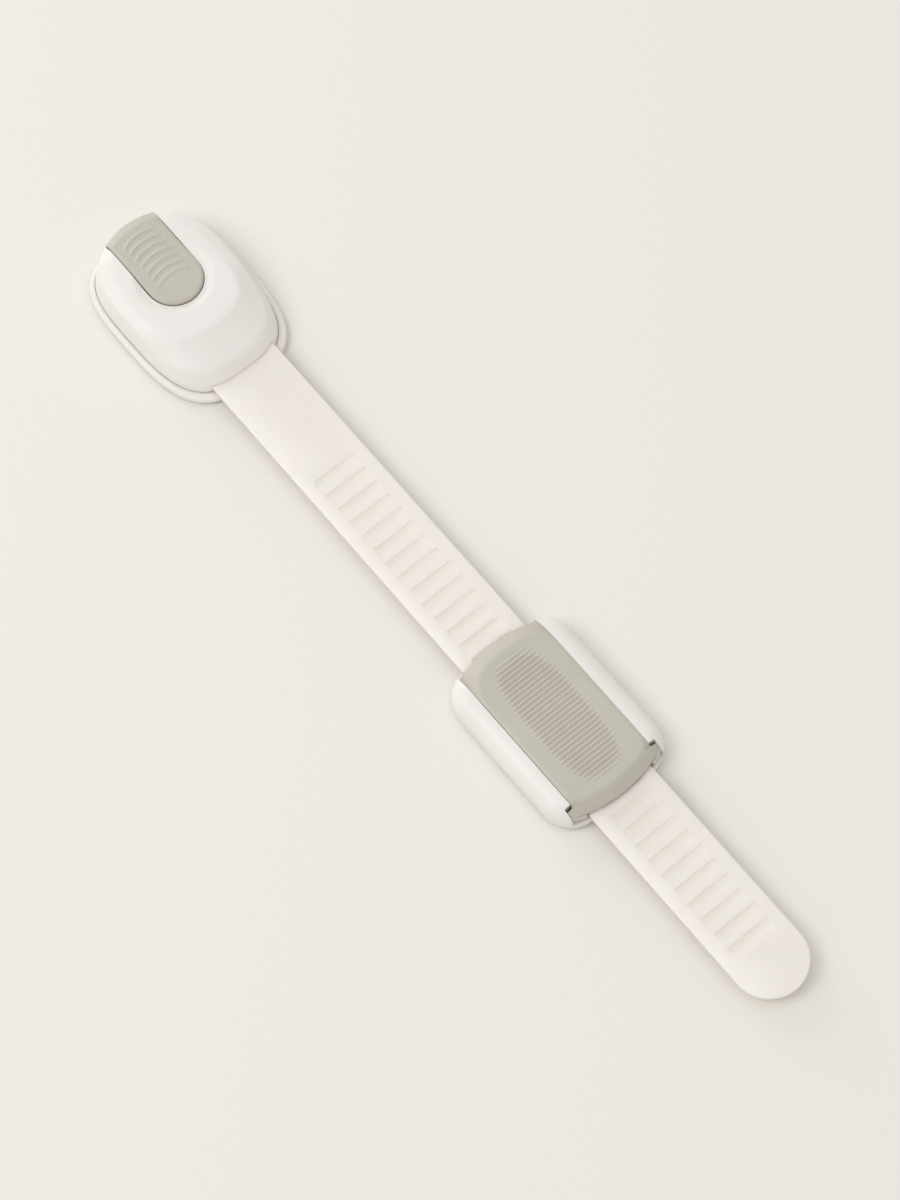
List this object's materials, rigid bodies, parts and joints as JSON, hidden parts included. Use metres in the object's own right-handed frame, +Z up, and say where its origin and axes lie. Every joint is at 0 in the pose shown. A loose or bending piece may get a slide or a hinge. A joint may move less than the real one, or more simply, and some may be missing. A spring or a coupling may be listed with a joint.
{
  "type": "adhesive strap lock",
  "caption": "Stick-on child-safety strap lock: release head on a base plate, flat toothed strap, and an adjuster whose ribbed slide locks the strap.",
  "frame": {"origin": "centre of the head's adhesive face, on the surface that it is stuck to", "axes": "+X along the strap from the head to the strap's free tip, +Z up from the adhesive faces"},
  "size_m": [0.219, 0.0324, 0.0103],
  "materials": {
    "white_plastic": "fine satin ABS, slightly warm white",
    "grey_plastic": "satin warm grey ABS",
    "strap": "frosted translucent TPU",
    "inner_plastic": "natural acetal",
    "spring_steel": "bright steel",
    "foam_tape": "white foam tape with adhesive on both faces"
  },
  "bodies": {
    "head_base": {"head_adhesive_pad": "foam_tape", "head_base_plate": "white_plastic"},
    "head": {"head_shell": "white_plastic", "head_chassis": "inner_plastic", "return_spring": "spring_steel", "chassis_screw_left": "spring_steel", "chassis_screw_right": "spring_steel", "strap_root": "strap"},
    "release": {"release_slide": "grey_plastic", "catch_spring": "spring_steel"},
    "strap": {"strap_flex": "strap", "strap_rack": "strap"},
    "adjuster": {"adjuster_adhesive_pad": "foam_tape", "adjuster_base_plate": "white_plastic", "adjuster_body": "white_plastic", "pawl_pin": "spring_steel", "adjuster_screw_left": "spring_steel", "adjuster_screw_right": "spring_steel"},
    "lock": {"lock_slide": "grey_plastic"},
    "pawl": {"locking_pawl": "inner_plastic"}
  },
  "joints": [
    {"name": "head_lift", "type": "slide", "parent": "head_base", "child": "head", "axis": [0, 0, 1], "range_m": [0, 0.016], "deforming": ["catch_spring"]},
    {"name": "release_push", "type": "slide", "parent": "head", "child": "release", "axis": [-1, 0, 0], "range_m": [0, 0.003], "stiffness_N_per_m": 250, "springref_m": -0.006, "deforming": ["return_spring"]},
    {"name": "strap_bend", "type": "hinge", "parent": "head", "child": "strap", "pos_m": [0.034, 0, 0.0035], "axis": [0, 1, 0], "range_deg": [-60, 90], "stiffness_Nm_per_rad": 0.02, "deforming": ["strap_flex"]},
    {"name": "strap_adjust", "type": "slide", "parent": "strap", "child": "adjuster", "axis": [1, 0, 0], "range_m": [-0.048, 0.048]},
    {"name": "lock_slide_travel", "type": "slide", "parent": "adjuster", "child": "lock", "axis": [1, 0, 0], "range_m": [0, 0.007]},
    {"name": "pawl_lift", "type": "hinge", "parent": "adjuster", "child": "pawl", "pos_m": [0.137, 0, 0.0053], "axis": [0, 1, 0], "range_deg": [0, 2.15]}
  ],
  "couplings": [
    {"joint": "pawl_lift", "follows": "lock_slide_travel", "rad_per_m": 5.36}
  ]
}
